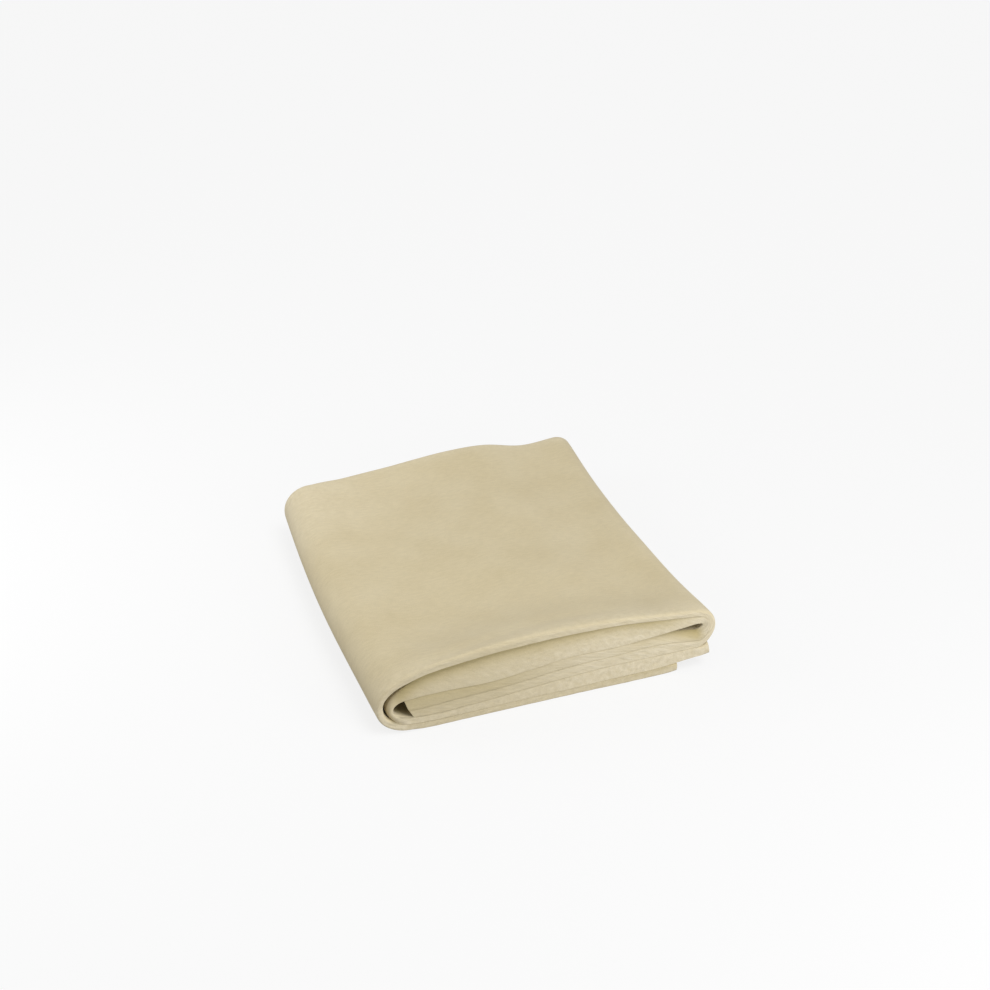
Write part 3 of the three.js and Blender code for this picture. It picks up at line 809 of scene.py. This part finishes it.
def nap_group():
    """Colour, roughness and height of the nap, from the place on the skin, from how open the nap is, with
    the painted sheen in that mask, and from the painted shade.
    """
    tree = bpy.data.node_groups.new("chamois_nap", "ShaderNodeTree")
    for name, kind in (("Skin", "Vector"), ("Nap And Sheen", "Float"), ("Painted Shade", "Float")):
        tree.interface.new_socket(name, in_out="INPUT", socket_type="NodeSocket" + kind)
    for name in ("Hide", "Dense Hide", "Pale Nap And Sheen", "Painted Shade Hide"):
        tree.interface.new_socket(name, in_out="INPUT", socket_type="NodeSocketColor")
    for name, kind in (("Color", "Color"), ("Roughness", "Float"), ("Height", "Float")):
        tree.interface.new_socket(name, in_out="OUTPUT", socket_type="NodeSocket" + kind)
    inside = add_node(tree, "NodeGroupInput", (-1200, 0))
    outside = add_node(tree, "NodeGroupOutput", (900, 0))
    skin, openness_and_sheen, painted_shade = (inside.outputs[name] for name in ("Skin", "Nap And Sheen", "Painted Shade"))
    hide, dense_hide, pale_nap_and_sheen, painted_shade_hide = (
        inside.outputs[name] for name in ("Hide", "Dense Hide", "Pale Nap And Sheen", "Painted Shade Hide")
    )

    stretched = add_node(tree, "ShaderNodeMapping", (-1000, -300), Scale=(STREAK_SQUEEZE, 1.0, 1.0))
    tree.links.new(skin, stretched.inputs["Vector"])
    mottle = noise_layer(tree, skin, (-800, 300), MOTTLE, 3)
    clumps = noise_layer(tree, skin, (-800, 100), CLUMPS, 3)
    streaks = noise_layer(tree, stretched.outputs["Vector"], (-800, -100), STREAKS, 2)
    fibres = noise_layer(tree, skin, (-800, -300), FIBRES, 2)

    colour = blend_colours(tree, spread(tree, mottle, (-600, 300), 0, 1), dense_hide, hide, (-300, 300))
    tips = arithmetic(tree, "MULTIPLY", spread(tree, clumps, (-600, 100), 0.35, 1.0), openness_and_sheen, (-400, 100))
    # pale open nap, and the painted sheen and highlight that ride in the same mask
    colour = blend_colours(tree, tips, colour, pale_nap_and_sheen, (-100, 300))
    # painted shade: a deeper, yellower colour where the grooves and overhangs are in shade
    colour = blend_colours(tree, painted_shade, colour, painted_shade_hide, (50, 300))
    pits = spread(tree, streaks, (-600, -100), 0.96, 1.03)
    grains = spread(tree, fibres, (-600, -300), 0.95, 1.05)
    shade = arithmetic(tree, "MULTIPLY", pits, grains, (-200, -100))
    shaded = add_node(tree, "ShaderNodeVectorMath", (200, 200), operation="MULTIPLY")
    tree.links.new(colour, shaded.inputs[0])
    tree.links.new(shade, shaded.inputs[1])
    tree.links.new(shaded.outputs["Vector"], outside.inputs["Color"])
    tree.links.new(spread(tree, clumps, (200, 0), 0.86, 0.98), outside.inputs["Roughness"])

    clump_height = arithmetic(tree, "MULTIPLY_ADD", openness_and_sheen, OPEN_CLUMPS, (0, -400), FLAT_CLUMPS)
    coarse = arithmetic(tree, "MULTIPLY", clumps, clump_height, (200, -300))
    fine = arithmetic(tree, "MULTIPLY", fibres, FIBRE_HEIGHT, (0, -600))
    line_height = arithmetic(tree, "MULTIPLY", openness_and_sheen, STREAK_HEIGHT, (-200, -500))
    lines = arithmetic(tree, "MULTIPLY", streaks, line_height, (0, -500))
    height = arithmetic(tree, "ADD", arithmetic(tree, "ADD", coarse, fine, (350, -300)), lines, (500, -300))
    tree.links.new(height, outside.inputs["Height"])
    return tree


nap = nap_group()
print("nodes in the nap group:", len(nap.nodes))


# %% The chamois material
def srgb(red, green, blue):
    """A colour as a picture program names it, from 0 to 255, turned into the linear values that shaders
    use: below a small limit a straight line, and above it a power of 2.4."""
    values = np.array([red, green, blue]) / 255
    linear = np.where(values <= 0.04045, values / 12.92, ((values + 0.055) / 1.055) ** 2.4)
    return (*linear.tolist(), 1.0)


leather = bpy.data.materials.new("chamois")
leather.use_nodes = True
tree = leather.node_tree
shader = tree.nodes["Principled BSDF"]
shader.inputs["Sheen Weight"].default_value = 0.18
shader.inputs["Sheen Roughness"].default_value = 0.5
shader.inputs["Specular IOR Level"].default_value = 0.2
place = add_node(tree, "ShaderNodeAttribute", (-900, 200), attribute_name="skin_run")
# open nap, with a painted sheen and a painted highlight in the same mask
pale_nap_and_sheen = add_node(tree, "ShaderNodeAttribute", (-900, 0), attribute_name="nap_and_sheen")
# the painted shade mask, which darkens and yellows the colour in grooves and under overhangs
shade_paint = add_node(tree, "ShaderNodeAttribute", (-900, -200), attribute_name="painted_shade")
nap_here = add_node(tree, "ShaderNodeGroup", (-600, 100), node_tree=nap)
nap_here.inputs["Hide"].default_value = srgb(204, 191, 158)
nap_here.inputs["Dense Hide"].default_value = srgb(199, 185, 150)
nap_here.inputs["Pale Nap And Sheen"].default_value = srgb(224, 213, 187)
# the colour of the painted shade
nap_here.inputs["Painted Shade Hide"].default_value = srgb(168, 152, 102)
tree.links.new(place.outputs["Vector"], nap_here.inputs["Skin"])
tree.links.new(pale_nap_and_sheen.outputs["Fac"], nap_here.inputs["Nap And Sheen"])
tree.links.new(shade_paint.outputs["Fac"], nap_here.inputs["Painted Shade"])
tree.links.new(nap_here.outputs["Color"], shader.inputs["Base Color"])
tree.links.new(nap_here.outputs["Roughness"], shader.inputs["Roughness"])
bump = add_node(tree, "ShaderNodeBump", (-300, -200), Strength=0.6, Distance=0.35 * MM)
tree.links.new(nap_here.outputs["Height"], bump.inputs["Height"])
tree.links.new(bump.outputs["Normal"], shader.inputs["Normal"])
for piece in (wrap, tucked):
    piece.data.materials.append(leather)
print("pieces with the chamois material:", wrap.name, tucked.name)

# %% [markdown]
# ## The studio
# The picture was taken in even light on a white ground, so there is no hard shadow anywhere. A white
# surround and a high, soft sun do most of it. The surround is pure white to the camera, but to the leather
# it is less than half as bright, so that the folds still shade each other. A low lamp at the front right
# lifts the rounded fronts, and a weaker one at the back left makes that corner of the top paler. The
# floor looks white because most of what the camera sees of it is an even glow. The rest is a plain matt
# surface, so that the bundle's own shadow still shows in it.

# %% Studio
FLOOR_HALF = 30.0  # in metres
FLOOR_GREY = 0.5
FLOOR_GLOW = 1.12
GLOW_SHARE = 0.72  # of what the camera sees


def pale_stage():
    """A floor that bounces light as a pale table does, and that the camera sees as nearly pure white."""
    mesh = bpy.data.meshes.new("floor")
    corners = [(x * FLOOR_HALF, y * FLOOR_HALF, 0) for x, y in ((-1, -1), (1, -1), (1, 1), (-1, 1))]
    mesh.from_pydata(corners, [], [(0, 1, 2, 3)])
    floor = bpy.data.objects.new("floor", mesh)
    bpy.context.scene.collection.objects.link(floor)
    material = bpy.data.materials.new("floor")
    material.use_nodes = True
    tree = material.node_tree
    matt = tree.nodes["Principled BSDF"]
    matt.inputs["Base Color"].default_value = (FLOOR_GREY, FLOOR_GREY, FLOOR_GREY, 1)
    matt.inputs["Roughness"].default_value = 0.9
    matt.inputs["Specular IOR Level"].default_value = 0.0
    glow = add_node(tree, "ShaderNodeEmission", (0, -300), Strength=FLOOR_GLOW)
    rays = add_node(tree, "ShaderNodeLightPath", (-400, 300))
    share = arithmetic(tree, "MULTIPLY", rays.outputs["Is Camera Ray"], GLOW_SHARE, (-200, 300))
    blend = add_node(tree, "ShaderNodeMixShader", (300, 0))
    tree.links.new(share, blend.inputs[0])
    tree.links.new(matt.outputs[0], blend.inputs[1])
    tree.links.new(glow.outputs[0], blend.inputs[2])
    tree.links.new(blend.outputs[0], tree.nodes["Material Output"].inputs["Surface"])
    mesh.materials.append(material)


def sun_light(name, towards, angle, strength):
    """A lamp without falloff, which shines along a direction. The wider its disc, the softer its shadows."""
    data = bpy.data.lights.new(name, "SUN")
    data.angle = math.radians(angle)
    data.energy = strength
    lamp = bpy.data.objects.new(name, data)
    bpy.context.scene.collection.objects.link(lamp)
    lamp.rotation_euler = Vector(towards).to_track_quat("-Z", "Y").to_euler()


def area_light(name, at, towards, size, power):
    """A soft square lamp that looks at a point."""
    data = bpy.data.lights.new(name, "AREA")
    data.size = size
    data.energy = power
    lamp = bpy.data.objects.new(name, data)
    bpy.context.scene.collection.objects.link(lamp)
    lamp.location = at
    lamp.rotation_euler = (Vector(towards) - Vector(at)).to_track_quat("-Z", "Y").to_euler()


pale_stage()
sun_light("overhead", (-0.22, 0.36, -0.90), 30, 1.4)
area_light("back_left", (-0.36, 0.12, 0.20), (-0.07, 0.04, 0.02), 0.24, 0.5)
area_light("front_right", (0.25, -0.45, 0.16), (0.06, -0.08, 0.02), 0.25, 0.85)
print("lamps:", [light.name for light in bpy.data.lights])

# %% White surround
SURROUND = 0.46  # how bright it is to everything but the camera
world = bpy.data.worlds.new("studio")
world.use_nodes = True
surround = world.node_tree
background = surround.nodes["Background"]
background.inputs["Color"].default_value = (1, 1, 1, 1)
rays = add_node(surround, "ShaderNodeLightPath", (-600, 0))
seen = arithmetic(surround, "MAXIMUM", rays.outputs["Is Camera Ray"], SURROUND, (-300, 0))
surround.links.new(seen, background.inputs["Strength"])
bpy.context.scene.world = world
bpy.context.scene.view_settings.view_transform = "Standard"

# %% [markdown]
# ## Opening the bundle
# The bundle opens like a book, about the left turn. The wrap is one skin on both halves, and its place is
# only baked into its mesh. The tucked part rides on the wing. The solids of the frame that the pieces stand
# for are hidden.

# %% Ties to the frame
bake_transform(wrap)
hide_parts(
    *[
        f"{stretch}_{part}"
        for stretch in ("bottom_panel", "left_turn_lower", "left_turn_upper", "top_panel", "right_turn")
        for part in ("outer_leaf", "inner_leaf", "back_fold")
    ],
)
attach(tucked, "wing")
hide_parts(*[f"tucked_panel_{part}" for part in ("outer_leaf", "inner_leaf", "back_fold")])
